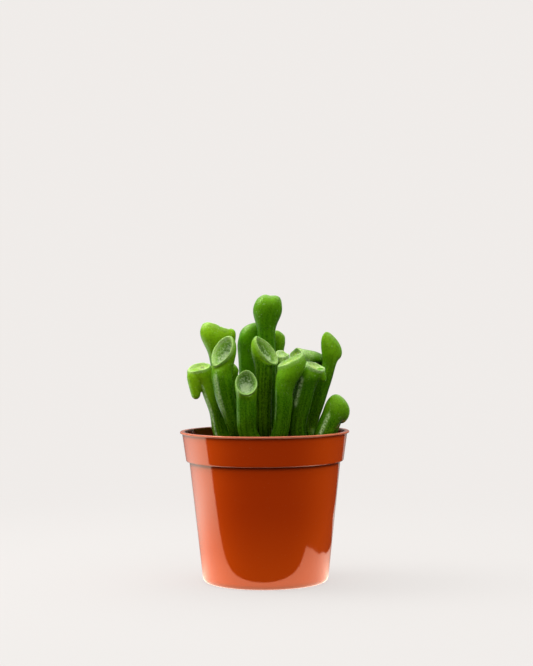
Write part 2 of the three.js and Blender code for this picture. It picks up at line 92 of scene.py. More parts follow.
# The leaves. A leaf that lacks a key has the usual value, and angles are in degrees.
#   stem, start       the stem that it grows from, and the height where it leaves it
#   by                its route from there up to the neck
#   r                 its radius low down and at the neck
#   cup, face         the rim's centre, and the way the cup looks: round from the front, and above level
#   tip               the direction of the leaf's point, the side that angles round the leaf start from
#   size              the cup's length, width and depth
#   point, low_pinch  how far the cup narrows at its tip and at its lower end
#   lip, low_lip      the lip's height, and the share of it that is left at the lower end
#   bulge             how far the head swells before it turns in to the rim
#   saddle, droop     how far the rim's two sides stand up, and how far its lower end hangs down
#   close             how fast the opening shortens and narrows inside the rim, and how far its middle moves
#                     towards the tip and to one side
#   notches           dents in the rim: depth, angle and half the width, as an angle
#   lobes             folds of flesh melted into the head: start, end and the radius at each
#   crumple           how far the head's skin is crumpled
#   tone, dry, body_shade   1 for a yellower head, 1 for an old cup, and how much painted shade darkens
#                     the body; below 0 it is painted light that brightens it
#   streaks           pale strips, partly dry scurf and partly painted highlight: angle, half the width
#                     as an angle, the shares of the leaf's length where each starts and ends, and its
#                     strength
LEAVES = {
    "left_hooked": dict(
        stem="left", start=44.5, by=((-15.2, -1.6, 52), (-17, -2.6, 61), (-20.2, -3, 70)),
        r=(3, 2.7), cup=(-23, -3.2, 75.6), face=(-20, 64), tip=(-1, 0, -0.2),
        size=(8.8, 7.4, 1.1), dry=0.9, tone=1, lip=0.8, close=(1.8, 1.5, -0.4, 0),
        lobes=(dict(start=(-24.5, -3.4, 72.4), end=(-24.2, -3.9, 66.4), r=(3.1, 1.7)),),
        crumple=0.3, streaks=((67.5, 10, 0.14, 0.8, 1), (0, 400, 0.94, 1.2, 0.6)), body_shade=-0.7,
    ),
    "left_slit": dict(
        stem="left", start=48.5, by=((-9.8, -8.9, 54), (-13.5, -9.5, 65), (-14.8, -9.8, 72.5)),
        r=(2.6, 3.8), cup=(-14.5, -10.6, 81.6), face=(-38, 28), tip=(0.32, 0, 1),
        size=(12.6, 9.4, 2.6), low_pinch=0.5, point=0.12, lip=0.9, low_lip=0.4,
        bulge=0.02, close=(1.15, 1.9, 0, -0.25), tone=0.5, crumple=0.2,
        streaks=((-165, 28, 0.32, 0.86, 0.7),),
    ),
    "left_wide": dict(
        stem="back_left", start=48, by=((-11.8, 11.6, 54), (-14.6, 10.6, 68), (-16.7, 9.8, 80)),
        r=(3, 3.2), cup=(-16.7, 9.6, 89.2), face=(150, 62), tip=(-1, 0, 0.25),
        size=(12.4, 7.8, 2.4), lip=1, tone=1, notches=((0.8, 146, 12), (1.3, 104, 24)),
        lobes=(dict(start=(-12.4, 9.4, 85.6), end=(-12, 9, 87.7), r=(2.3, 1.95)),),
    ),
    "left_short": dict(
        stem="middle", start=47.5, by=((-5.8, 2, 53), (-10.8, 2.6, 63), (-12, 2.8, 70)),
        r=(2.5, 2.6), cup=(-11.9, 3, 75.2), face=(150, 40), tip=(0, 0, 1),
        size=(7, 5.8, 1.6),
    ),
    "middle_bowed": dict(
        stem="back_left", start=49.5, by=((-3, 15.4, 55), (-5.6, 15.4, 67), (-6.2, 14.8, 79)),
        r=(3, 3.4), cup=(-4.6, 14.6, 87.5), face=(185, 42), tip=(0.55, 0, 1),
        size=(11, 8.4, 2), lip=0.9, tone=0, body_shade=-1.4,
    ),
    "middle_top": dict(
        stem="middle", start=50.5, by=((1.4, 6, 55), (1.2, 7, 74), (0.8, 7.2, 88)),
        r=(3, 3.3), cup=(1.7, 8, 97.9), face=(170, 42), tip=(-0.1, 0, 1),
        size=(9.6, 10, 2.4), lip=0.9, point=0.04, bulge=0.15, tone=0.25,
        notches=((0.9, 29, 9), (-0.8, 56, 18), (-0.2, -4, 20)),
    ),
    "middle_spoon": dict(
        stem="middle", start=48.5, by=((-0.5, -5.8, 53.6), (-0.4, -6.4, 66), (-0.1, -6.8, 75.6)),
        r=(2.9, 3.2), cup=(0.5, -7.4, 81.7), face=(52, 31), tip=(-0.65, 0, 0.76),
        size=(12.8, 7.8, 2.6), low_pinch=-0.25, lip=0.9, low_lip=0.6, bulge=0.03,
        close=(1.1, 1.7, 0, 0.25), tone=0.8, body_shade=1.4,
    ),
    "middle_bud": dict(
        stem="middle", start=50, by=((6.6, -1, 55), (7, -1.4, 66), (6.7, -1.6, 76)),
        r=(2.2, 2.2), cup=(6.5, -1.9, 79.9), face=(10, 58), tip=(1, 0.3, 0),
        size=(5.5, 5.3, 0.4), dry=1, tone=1, lip=1.1, close=(2.4, 3.2, 0, 0),
        notches=((0.4, 35, 22), (0.3, 170, 26)), crumple=0.45, streaks=((0, 400, 0.84, 1.2, 0.9),),
    ),
    "front_cup": dict(
        stem="front", start=46.5, by=((-5.6, -14, 53), (-6.2, -15.2, 60), (-6.2, -15.6, 65.2)),
        r=(3.5, 3.5), cup=(-6.3, -17, 70.8), face=(6, 28), tip=(0.15, 0, 1),
        size=(10, 8, 2.6), bulge=0.03, tone=0.4,
    ),
    "front_flared": dict(
        stem="front", start=47, by=((5.1, -13.4, 53), (6.4, -13.6, 61), (6.6, -13.6, 67.6)),
        r=(2.8, 3.3), cup=(9.2, -13, 78.2), face=(-67, 65), tip=(0.91, 0.1, 0.4),
        size=(10.4, 7.8, 0.9), dry=1, lip=0.7, bulge=0.2, low_pinch=-0.1,
        close=(1.5, 2.2, 0, 0.3), droop=0.5, tone=0.35, crumple=0.15, streaks=((-157.5, 14, 0.3, 0.82, 0.6),),
    ),
    "right_flat": dict(
        stem="right", start=44.5, by=((11.2, -7.8, 52.4), (12.4, -8, 62), (14.5, -8.2, 70.5)),
        r=(3.2, 3.8), cup=(18, -8.4, 75.9), face=(52, 63), tip=(1, 0, -0.55),
        size=(7.4, 6.8, 0.9), tone=0.2, dry=1, lip=0.7, close=(1.5, 1.3, 0, 0.1),
        lobes=(dict(start=(19.6, -8.7, 73.8), end=(20.6, -8.9, 72), r=(2.1, 1.3)),),
        crumple=0.3, streaks=((-135, 24, 0.42, 0.86, 1), (0, 400, 0.93, 1.2, 0.75)), body_shade=0.5,
    ),
    "right_tall": dict(
        stem="right", start=48.5, by=((15.8, 1.2, 54), (19.4, 0.7, 65), (22.8, 0.4, 75.5)),
        r=(2.9, 2.5), cup=(24.1, 0.6, 83.2), face=(140, 26), tip=(-0.26, 0, 0.9),
        size=(11.4, 4.8, 2), lip=0.9, saddle=1.1, bulge=0.02, point=0.5,
    ),
    "right_low": dict(
        stem="right", start=46, by=((20.2, -8.6, 51.6), (21.7, -7.8, 54.8), (23.2, -7.2, 57.8)),
        r=(3.3, 3.6), cup=(25.87, -5.6, 61.1), face=(150, 16), tip=(-0.15, 0, 1),
        size=(11, 7.8, 2.2), lip=1, saddle=0.6, tone=0.4,
        bulge=0.06, streaks=((22.5, 13, 0.05, 0.8, 1),),
    ),
    "right_arched": dict(
        stem="back_right", start=46.5, by=((15.5, 7.9, 53), (19.3, 7.3, 66), (21.3, 6.4, 76)),
        r=(2.3, 2.8), cup=(11.9, 3.2, 79.9), face=(-54, 22), tip=(-0.2, 0, 1),
        size=(5.6, 6.4, 0.2), dry=1, lip=1.1, bulge=0.2, close=(4, 1.9, 0.15, 0.1), crumple=0.3,
        tone=0.6, body_shade=2.2, streaks=((-90, 120, 0.86, 1.2, 0.7),),
    ),
    "back_tip": dict(
        stem="back_right", start=50.5, by=((4.8, 12.2, 54.6), (4.8, 14, 70), (4.7, 15.4, 81)),
        r=(2.2, 2.4), cup=(4.9, 16.4, 86), face=(160, 44), tip=(0, 0, 1),
        size=(7.4, 5.8, 1.6),
    ),
    "back_fill": dict(
        stem="back_right", start=49.6, by=((9.2, 4.4, 53.6), (12.15, 0.9, 64), (13.2, -1.3, 72.6)),
        r=(2.2, 2.6), cup=(13.5, -2.1, 76.4), face=(0, 60), tip=(0, 1, 0.3),
        size=(6, 5.6, 1.5), tone=0,
    ),
    "back_centre": dict(
        stem="back_right", start=46.5, by=((7.4, 18.8, 52.6), (3, 22, 64), (1.6, 22.8, 73)),
        r=(2.7, 3.1), cup=(1.2, 23, 79.4), face=(-20, 34), tip=(0, 0.6, 1),
        size=(9.6, 7, 2.2),
    ),
    "back_right": dict(
        stem="back_right", start=44.5, by=((15.3, 15, 50.6), (17.5, 18.4, 57.6), (18.7, 19.8, 62.5)),
        r=(2.6, 3.1), cup=(19.5, 20.3, 67), face=(-40, 55), tip=(0.7, 0.7, 0.3),
        size=(8.4, 7.4, 2),
    ),
    "back_far_right": dict(
        stem="right", start=45.5, by=((22.6, -1.4, 50.8), (25, 2.4, 55.4), (25.9, 4.4, 58.4)),
        r=(1.9, 2.4), cup=(26.2, 5.2, 61), face=(-30, 60), tip=(0.4, 0.8, 0),
        size=(5.6, 5.2, 1.4),
    ),
    "back_left_low": dict(
        stem="back_left", start=45, by=((-9, 18.6, 51.6), (-12, 21.2, 57.6), (-13.2, 22.2, 62.5)),
        r=(2.9, 3.2), cup=(-14, 22.6, 67.4), face=(-10, 52), tip=(-0.4, 0.9, 0.3),
        size=(9, 7.4, 2.2),
    ),
    "back_left_side": dict(
        stem="back_left", start=44.5, by=((-10.2, 5.6, 50.8), (-15.8, 4.4, 59), (-18.4, 4.7, 66.5)),
        r=(2.5, 2.7), cup=(-18.9, 4.9, 71), face=(60, 52), tip=(-0.8, 0.6, 0.3),
        size=(6.8, 6.2, 1.7),
    ),
}


def number(name, description, default, unit="LENGTH"):
    """A size, or another number in its unit, that a user can change."""
    return FloatProperty(name=name, description=description, default=default, unit=unit, min=0, precision=5)


def count(name, description, default, low, high=1000):
    """A whole number that a user can change."""
    return IntProperty(name=name, description=description, default=default, min=low, max=high)


def share(name, description, default):
    """A value from 0 to 1 that a user can change."""
    return FloatProperty(name=name, description=description, default=default, subtype="FACTOR", min=0, max=1)


def colour(name, description, default):
    """A colour that a user can change, in linear light."""
    return FloatVectorProperty(
        name=name, description=description, default=default, subtype="COLOR", size=3, min=0, max=1
    )


class JadePot(bpy.types.PropertyGroup):
    """The sizes and colours of the pot."""

    lip_height: number("Lip height", "Height of the lip's outer face", 0.66 * MM)
    lip_width: number("Lip width", "How far the lip stands out from the band", 0.7 * MM)
    band_height: number("Band height", "Height of the wide band under the lip", 10.6 * MM)
    band_foot: number("Band foot radius", "Outer radius of the band at the step", 27.9 * MM)
    body_top: number("Body top radius", "Outer radius just under the step", 26.8 * MM)
    body_foot: number("Body foot radius", "Outer radius above the rounded foot", 22.4 * MM)
    corner: number("Foot corner", "Rounding of the corner at the foot", 1.8 * MM)
    wall: number("Wall", "Thickness of the plastic", 1 * MM)
    floor: number("Floor", "Thickness of the raised floor", 1.2 * MM)
    foot_rise: number("Foot rise", "How far the floor is raised inside the foot ring", 1.4 * MM)
    foot_ring: number("Foot ring radius", "Inner radius of the ring that it stands on", 18.2 * MM)
    drain_radius: number("Drain hole radius", "Radius of each drain hole", 2.3 * MM)
    drain_circle: number("Drain circle", "Radius of the circle that the drain holes lie on", 12.5 * MM)
    drain_holes: count("Drain holes", "How many drain holes", 6, 3)
    sides: count("Sides", "Flat sides round the pot", 160, 24)
    plastic: colour("Plastic", "Colour of the terracotta-coloured plastic", (0.475, 0.037, 0.0004))
    # Painted light: the colour that the pot's sides and foot are painted, as if lit more brightly
    sidelit_plastic: colour("Thin plastic", "Colour where light comes through the wall", (0.74, 0.078, 0.0022))
    # Painted shade: the colour that darkens the corners under the step and the lip
    corner_shade: colour("Corner shade", "Colour of the dust in the corners", (0.09, 0.005, 0.0002))
    # Painted highlight: the paler colour painted on the lip
    lip_highlight: colour("Worn lip", "Colour of the scuffed lip", (0.6, 0.25, 0.15))
    # Painted shade: the colour that darkens the wall inside
    inner_shade: colour("Inner dirt", "Colour of the soil's stains on the wall inside", (0.075, 0.013, 0.003))
    speck: colour("Speck", "Colour of the dried specks on the wall inside", (0.5, 0.44, 0.36))
    dust: colour("Dust", "Colour of the dust on the plastic", (0.6, 0.5, 0.42))
    gloss: share("Roughness", "Roughness of the plastic's face", 0.075)


class JadeSoil(bpy.types.PropertyGroup):
    """The sizes and colours of the soil."""

    edge_height: number("Edge height", "Height of the soil at the pot's wall", 41.6 * MM)
    mound: number("Mound", "How far the middle stands above the edge", 2.4 * MM)
    gap: number("Wall gap", "Gap between the soil and the pot", 0.32 * MM)
    crumbs: count("Crumbs", "How many loose crumbs lie on the soil", 620, 1)
    perlite: count("Perlite", "How many pale grains lie on the soil", 46, 1)
    peat: colour("Peat", "Colour of the damp peat", (0.022, 0.011, 0.006))
    fibre: colour("Fibre", "Colour of the drier crumbs and fibres", (0.09, 0.045, 0.02))
    grain: colour("Grain", "Colour of the perlite grains", (0.62, 0.6, 0.54))


class JadeLeaf(bpy.types.PropertyGroup):
    """The sizes and colours of the stems and the leaves."""

    sides: count("Sides", "Sides round a leaf before it is smoothed", 16, 8)
    smoothing: count("Smoothing", "Subdivision level of the leaves", 2, 1, 3)
    foot: share("Foot", "Share of the body's radius at the leaf's foot", 0.62)
    seam: share("Seam", "Depth of the groove up the inner side, as a share of the radius", 0.1)
    point: share("Point", "How far a cup narrows towards its tip", 0.18)
    bulge: share("Bulge", "How far the head swells before it turns in to the rim", 0.09)
    lip: number("Lip", "How far the rounded lip stands above the rim", 0.6 * MM)
    waver: number("Waver", "How far the skin swells and sinks along a leaf", 0.28 * MM)
    # Painted shade: the colour of the leaf low down, where shade falls in the pot and among the leaves, also
    # used for its dark mottling
    deep_green: colour("Old green", "Colour of the leaf low down", (0.011, 0.046, 0.0006))
    green: colour("Green", "Colour of the leaf's body", (0.027, 0.12, 0.0009))
    young_green: colour("Young green", "Colour of the head", (0.085, 0.27, 0.002))
    yellow_green: colour("Yellow green", "Colour of a head that had much sun", (0.2, 0.42, 0.005))
    # Partly painted highlight: the pale lip is partly the leaf's own colour and partly stands for the light
    # on its bead
    rim: colour("Rim", "Colour of the thin lip", (0.45, 0.57, 0.27))
    cup: colour("Cup", "Colour inside the cup", (0.075, 0.17, 0.03))
    # Painted sheen: the pale middle of a fresh cup stands for the light on the cup's floor
    window: colour("Window", "Colour of the pale translucent middle of a cup", (0.33, 0.44, 0.24))
    scurf: colour("Scurf", "Colour of the dry dots and strips", (0.5, 0.66, 0.32))
    dry_cup: colour("Dry cup", "Colour inside an old, dry cup", (0.34, 0.5, 0.08))
    cork: colour("Cork", "Colour of the brown patches in an old cup", (0.08, 0.055, 0.012))
    bark: colour("Bark", "Colour of the stems", (0.06, 0.085, 0.02))


class JadeStage(bpy.types.PropertyGroup):
    """The studio: its floor, its lights and its camera."""

    distance: number("Camera distance", "From the pot's axis to the camera", 568 * MM)
    height: number("Camera height", "Height of the camera above the floor", 94 * MM)
    focal: number("Focal length", "In pixels of the picture", 1600, "NONE")
    floor_colour: colour("Floor", "Colour of the lit floor near the pot", (0.13, 0.126, 0.122))
    floor_light: colour("Floor light", "Colour of the backdrop's even light", (1, 0.965, 0.94))
    floor_glow: number("Floor glow", "Strength of the backdrop's even light", 0.87, "NONE")
    shadow_share: share("Shadow share", "How much of the even light the floor near the pot lacks", 0.275)
    sheet_near: colour("Sheet near", "Colour of the mirrored sheet at the pot's foot", (0.97, 0.7, 0.57))
    sheet_far: colour("Sheet far", "Colour of the mirrored sheet away from the pot", (0.85, 1, 0.93))
    sheet_glow: number("Sheet glow", "Radiance of the mirrored sheet", 3.3, "NONE")
    key: number("Key light", "Power of the soft light", 2.4, "POWER")


def deselect():
    """Leaves nothing selected in object mode, because an operator acts on all that is selected."""
    if bpy.context.mode != "OBJECT":
        bpy.ops.object.mode_set(mode="OBJECT")
    bpy.ops.object.select_all(action="DESELECT")


def hide(piece, *rays):
    """Lets these kinds of ray pass through a piece."""
    for ray in rays:
        setattr(piece, "visible_" + ray, False)


def pick(piece):
    """Selects one piece alone and makes it active."""
    deselect()
    piece.select_set(True)
    bpy.context.view_layer.objects.active = piece


def axes(normal, back):
    """The axes across `normal` as a matrix's columns: back, side and normal."""
    n = normal.normalized()
    u = (back - n * back.dot(n)).normalized()
    return Matrix((u, n.cross(u), n)).transposed()


class Ring:
    """One ring of a tube: its centre, its axes, its two radii, and marks that shape and colour a leaf."""

    def __init__(self, centre, normal=UP, back=RIGHT, long=1.0, wide=None, **marks):
        self.centre = Vector(centre)
        self.axes = axes(Vector(normal), Vector(back))
        self.long = long
        self.wide = long if wide is None else wide
        self.marks = marks


# A turn so small that it is left out
NO_TURN = 1e-6


def tube(name, rings, sides):
    """A closed tube: a circle at the first ring, extruded, turned and resized to each ring after it."""
    deselect()
    first = rings[0]
    bpy.ops.mesh.primitive_circle_add(
        vertices=sides, radius=1, fill_type="NGON", location=first.centre, rotation=first.axes.to_euler()
    )
    piece = bpy.context.object
    piece.name = piece.data.name = name
    piece.scale = (first.long, first.wide, 1)
    bpy.ops.object.transform_apply(location=True, rotation=True, scale=True)
    bpy.ops.object.mode_set(mode="EDIT")
    bpy.ops.mesh.select_all(action="SELECT")
    for old, new in zip(rings, rings[1:]):
        bpy.ops.mesh.extrude_region_move(TRANSFORM_OT_translate={"value": new.centre - old.centre})
        turn = (new.axes @ old.axes.transposed()).to_euler("XYZ")
        for axis, angle in zip("XYZ", turn):
            if abs(angle) > NO_TURN:
                bpy.ops.transform.rotate(
                    value=-angle, orient_axis=axis, orient_type="GLOBAL", center_override=new.centre
                )
        bpy.ops.transform.resize(
            value=(new.long / old.long, new.wide / old.wide, 1), orient_type="GLOBAL",
            orient_matrix=new.axes, orient_matrix_type="GLOBAL", center_override=new.centre,
        )
    bpy.ops.mesh.select_all(action="SELECT")
    bpy.ops.mesh.normals_make_consistent(inside=False)
    bpy.ops.object.mode_set(mode="OBJECT")
    return piece


def lathe(name, outline, sides):
    """A round closed shape about the upright axis, through (radius, height) points."""
    return tube(name, [Ring((0, 0, height), long=radius) for radius, height in outline], sides)


def apply_modifier(piece, kind, **settings):
    """Adds a modifier to a piece and applies it."""
    pick(piece)
    modifier = piece.modifiers.new(kind.title(), kind)
    for name, value in settings.items():
        setattr(modifier, name, value)
    bpy.ops.object.modifier_apply(modifier=modifier.name)


def smooth(piece, angle=None):
    """Shades a piece smooth, all over or only across edges flatter than an angle."""
    pick(piece)
    if angle is None:
        bpy.ops.object.shade_smooth()
    else:
        bpy.ops.object.shade_smooth_by_angle(angle=math.radians(angle))


def join(name, parts):
    """One object of several."""
    deselect()
    for part in parts:
        part.select_set(True)
    bpy.context.view_layer.objects.active = parts[0]
    if len(parts) > 1:
        bpy.ops.object.join()
    parts[0].name = parts[0].data.name = name
    return parts[0]


def rounded(corners, steps=5, hold=0.3 * MM):
    """The outline through (radius, height, reach) corners, each turned into a curve that reaches that far.

    A point near each end of a long straight span keeps its shading straight.
    """
    line = []
    for k, (radius, height, reach) in enumerate(corners):
        here = Vector((radius, height))
        if reach == 0:
            line.append(here)
            continue
        start, end = (here + (Vector(corners[j][:2]) - here).normalized() * reach for j in (k - 1, k + 1))
        for i in range(steps + 1):
            t = i / steps
            line.append(start * (1 - t) ** 2 + here * 2 * t * (1 - t) + end * t**2)
    firm = []
    for here, after in zip(line, line[1:]):
        firm.append(here)
        span = after - here
        if span.length > 6 * hold:
            firm += [here + span.normalized() * hold, after - span.normalized() * hold]
    return firm + line[-1:]


def complete(piece, material, slot, *nodes, angle=None):
    """Shades and dresses a piece, says what it rides on, and hides the parts of the nodes that it stands for.
    """
    smooth(piece, angle)
    piece.data.materials.append(material)
    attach(piece, BODY)
    if nodes:
        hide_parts(*nodes)
    deselect()


def arithmetic(operation, turned=False):
    """An operator of a socket, which adds one Math node. Turned round, the other value comes first."""

    def operator(self, other):
        return self.graph.maths(operation, *((other, self) if turned else (self, other)))

    return operator


class Socket:
    """One output of a node. Arithmetic with it, and with plain numbers, adds Math nodes."""

    def __init__(self, graph, link):
        self.graph = graph
        self.link = link

    __add__ = __radd__ = arithmetic("ADD")
    __sub__, __rsub__ = arithmetic("SUBTRACT"), arithmetic("SUBTRACT", turned=True)
    __mul__ = __rmul__ = arithmetic("MULTIPLY")
    __pow__ = arithmetic("POWER")
    __lt__, __gt__ = arithmetic("LESS_THAN"), arithmetic("GREATER_THAN")


class Graph:
    """The node tree of a material or of the world."""

    def __init__(self, owner):
        owner.use_nodes = True
        self.owner = owner
        self.tree = owner.node_tree
        self.tree.nodes.clear()

    def node(self, kind, settings=None, sockets=None, output=0):
        """Adds one node: its settings first, then the values or links of its sockets."""
        made = self.tree.nodes.new(kind)
        for name, value in (settings or {}).items():
            setattr(made, name, value)
        for name, value in (sockets or {}).items():
            if isinstance(value, Socket):
                self.tree.links.new(value.link, made.inputs[name])
            else:
                made.inputs[name].default_value = value
        return Socket(self, made.outputs[output])

    def maths(self, operation, *values):
        """One Math node."""
        return self.node("ShaderNodeMath", {"operation": operation}, dict(enumerate(values)))

    def place(self):
        """Where a point lies on the piece, in metres."""
        return self.node("ShaderNodeTexCoord", output="Object")

    def parts(self, vector):
        """The three numbers of a vector."""
        return [self.node("ShaderNodeSeparateXYZ", {}, {"Vector": vector}, output=axis) for axis in "XYZ"]

    def length(self, vector):
        """The length of a vector."""
        return self.node("ShaderNodeVectorMath", {"operation": "LENGTH"}, {0: vector}, output="Value")

    def mark(self, name):
        """A number that the piece's mesh holds at each point."""
        return self.node("ShaderNodeAttribute", {"attribute_name": name}, output="Fac")

    def stretched(self, place, scale):
        """The place as a pattern reads it, with each axis scaled."""
        return self.node("ShaderNodeMapping", {}, {"Vector": place, "Scale": scale})

    def noise(self, place, scale, detail, roughness=0.5):
        """Cloudy noise, with so many clouds to the metre."""
        sockets = {"Vector": place, "Scale": scale, "Detail": detail, "Roughness": roughness}
        return self.node("ShaderNodeTexNoise", {}, sockets, output="Fac")

    def cells(self, place, scale):
        """How far a point lies from the middle of its cell, with so many cells to the metre."""
        return self.node("ShaderNodeTexVoronoi", {}, {"Vector": place, "Scale": scale}, output="Distance")

    def step(self, value, low, high):
        """0 below low, 1 above high, smooth between them. With low above high it runs the other way."""
        sockets = {"Value": value, "From Min": low, "From Max": high}
        return self.node("ShaderNodeMapRange", {"interpolation_type": "SMOOTHSTEP"}, sockets)

    def mix(self, factor, one, other):
        """One colour where the factor is 0, the other where it is 1."""
        one, other = (value if isinstance(value, Socket) else (*value, 1) for value in (one, other))
        factor_socket, one_socket, other_socket, colour_output = 0, 6, 7, 2
        sockets = {factor_socket: factor, one_socket: one, other_socket: other}
        return self.node("ShaderNodeMix", {"data_type": "RGBA"}, sockets, output=colour_output)

    def bump(self, height, distance, strength, under=None):
        """A surface that stands up by the height times the distance, on top of another such surface."""
        sockets = {"Height": height, "Distance": distance, "Strength": strength}
        if under:
            sockets["Normal"] = under
        return self.node("ShaderNodeBump", {}, sockets)

    def finish(self, shader, sockets, target="Material"):
        """Ends the tree with its shader, and gives the material or the world that it belongs to."""
        surface = self.node("ShaderNode" + shader, {}, sockets)
        output = self.tree.nodes.new("ShaderNodeOutput" + target)
        self.tree.links.new(surface.link, output.inputs["Surface"])
        return self.owner


def new_material(name):
    """The empty tree of a new material, and where each point lies on the piece."""
    graph = Graph(bpy.data.materials.new(name))
    return graph, graph.place()


def pot_plastic(look):
    """Glossy moulded plastic, painted brighter at its sides and foot as painted light, with painted shade in
    its corners and on its wall inside, a painted highlight on its lip, and dried specks inside.
    """
    graph, place = new_material("glossy terracotta plastic")
    x, y, up = graph.parts(place)
    step, lip_foot = POT_HIGH.z - look.band_height, POT_HIGH.z - look.lip_height
    cloud = graph.noise(place, 38, 2)

    # Painted light and shade: the plastic is painted brighter at its left and right sides and towards its
    # foot, as if lit more there, with faint clouds, and painted darker in its corners, where shade falls
    thin = graph.step(x * x, 0.0, 0.0005) * 0.8 + graph.step(up, 0.03, 0.0) * 0.7 + cloud * 0.2 - 0.06
    under_step = graph.step(up, step - 1.5 * MM, step - 0.2 * MM) * (up < step)
    under_lip = graph.step(up, lip_foot - 1.2 * MM, lip_foot - 0.2 * MM) * (up < lip_foot)
    corner = under_step + under_lip * 0.5

    # The wall's inner face lies within the band's taper and above its step
    slope = (POT_HIGH.x - look.lip_width - look.band_foot) / look.band_height
    out = (x * x + y * y) ** 0.5 - (up - step) * slope
    inside = (out < look.band_foot - look.wall * 0.7) * (up > step - 0.2 * MM)
    clusters = graph.step(graph.noise(place, 300, 1), 0.48, 0.56)
    specks = graph.step(graph.cells(place, 640), 0.32, 0.22) * clusters * inside

    # Painted light brightens the sides and the foot
    base = graph.mix(thin, look.plastic, look.sidelit_plastic)
    # Painted highlight: the lip is painted paler
    base = graph.mix((up > lip_foot) * 0.5, base, look.lip_highlight)
    # Painted shade on the wall inside, and then the dried specks on it
    base = graph.mix(inside * 0.9, base, look.inner_shade)
    base = graph.mix(specks * 0.75, base, look.speck)
    base = graph.mix(corner * 0.65, base, look.corner_shade)
    dust = graph.step(graph.noise(place, 2200, 1), 0.7, 0.78)
    flow = graph.noise(graph.stretched(place, (1, 1, 0.15)), 90, 2)
    return graph.finish("BsdfPrincipled", {
        "Base Color": graph.mix(dust * 0.06, base, look.dust),
        "Roughness": graph.step(flow, 0.3, 0.9) * 0.03 + look.gloss + dust * 0.1,
        "Specular IOR Level": 1.0,
        "Specular Tint": (1.0, 0.58, 0.42, 1.0),
        "Normal": graph.bump(graph.noise(place, 26, 2), 0.00035, 0.5),
    })


# The numbers that each point of a leaf's mesh holds for the leaf's skin
MARKS = ("along", "cup", "bowl", "rim", "streak", "tone", "dry", "body_shade", "round_cos", "round_sin")


def leaf_skin(look):
    """Glossy pitted skin, with painted shade low down, a pale lip that is partly painted highlight, a painted
    sheen in the cup, and dry scurf in the cup and in pale strips that are partly painted highlight.
    """
    graph, place = new_material("succulent leaf skin")
    along, cup, bowl, rim, streak, tone, old_cup, body_shade, round_cos, round_sin = (graph.mark(n) for n in MARKS)
    blotch = graph.noise(place, 170, 3)
    grain = graph.noise(place, 2400, 2)

    # The body is painted darker low down, as painted shade in the pot and among the leaves, and its
    # body_shade mark paints it darker still, or lighter below 0; it ripens towards the head
    ripe = graph.mix(tone, look.young_green, look.yellow_green)
    # Painted shade: the lower body fades to the deep green
    lower = graph.step(along - body_shade * 0.3 + blotch * 0.25 - 0.12, 0.0, 0.75)
    upper = graph.step(along - body_shade * 0.2 + blotch * 0.2 + tone * 0.12 - 0.15, 0.62, 1.05)
    skin = graph.mix(upper, graph.mix(lower, look.deep_green, look.green), ripe)

    # Stripes along the leaf, mottling and grain, and dry spots on the head
    turn = {"X": round_cos, "Y": round_sin, "Z": along * 0.5 + tone}
    stripes = graph.noise(graph.node("ShaderNodeCombineXYZ", {}, turn), 4.5, 3)
    skin = graph.mix(graph.step(stripes, 0.4, 0.7) * 0.3, skin, ripe)
    skin = graph.mix(graph.step(graph.noise(place, 950, 2), 0.45, 0.7) * 0.3, skin, look.deep_green)
    skin = graph.mix(graph.step(grain, 0.42, 0.72) * 0.3, skin, ripe)
    spotty = graph.step(graph.noise(place, 330, 2), 0.48, 0.66)
    spots = graph.step(graph.cells(place, 1250), 0.3, 0.18) * spotty * graph.step(along, 0.6, 0.9)
    skin = graph.mix(spots * 0.4, skin, look.scurf)

    # A fresh cup has a pale painted sheen in its middle, an old one has brown cork, and both have dry dots
    middle = graph.step(bowl + graph.noise(place, 900, 4, 0.7) * 2.4 - round_cos * 0.25 - 1.35, 0.0, 0.5)
    fresh = graph.mix(middle, look.cup, look.window)
    corky = graph.step(graph.noise(place, 640, 3), 0.52, 0.62) * graph.step(bowl, 0.0, 0.3)
    old = graph.mix(corky * 0.7, look.dry_cup, look.cork)
    dots = graph.step(graph.noise(place, 1500, 2, 0.6), 0.5, 0.62)
    hollow = graph.mix(dots * 0.5, graph.mix(old_cup, fresh, old), look.scurf)

    # The pale lip, partly painted highlight, and the pale strips, partly dry scurf and partly painted
    # highlight
    skin = graph.mix(rim * graph.step(grain, 0.2, 0.6) * 0.52, graph.mix(cup, skin, hollow), look.rim)
    flakes = graph.step(graph.noise(place, 1400, 3, 0.65), 0.4, 0.58)
    # Pale strips: dry scurf, and painted highlight along the flanks
    dry = graph.step(streak, 0.2, 1.0) * (flakes * 0.65 + 0.15)
    return graph.finish("BsdfPrincipled", {
        "Base Color": graph.mix(dry, skin, look.scurf),
        "Roughness": graph.step(grain, 0.3, 0.8) * 0.12 + 0.25 + cup * 0.2 + dry * 0.25,
        "Subsurface Weight": 0.12,
        "Subsurface Radius": (0.4, 1.0, 0.05),
        "Subsurface Scale": 0.0014,
        "Specular IOR Level": 0.36,
        "Specular Tint": (0.75, 1.0, 0.15, 1.0),
        "Coat Weight": 0.03,
        "Coat Roughness": 0.14,
        "Normal": graph.bump(graph.cells(place, 1900), 0.00012, 0.55, graph.bump(blotch, 0.0008, 0.35)),
    })


def stem_bark(look):
    """Grey-green corky skin."""
    graph, place = new_material("succulent stem bark")
    blotch = graph.noise(place, 420, 3)
    cracks = graph.cells(graph.stretched(place, (1, 1, 2.2)), 700)
    base = graph.mix(graph.step(blotch, 0.35, 0.65), look.bark, look.green)
    return graph.finish("BsdfPrincipled", {
        "Base Color": graph.mix(graph.step(cracks, 0.1, 0.5) * 0.2, base, look.scurf),
        "Roughness": blotch * 0.2 + 0.55,
        "Normal": graph.bump(cracks, 0.0002, 0.6),
    })


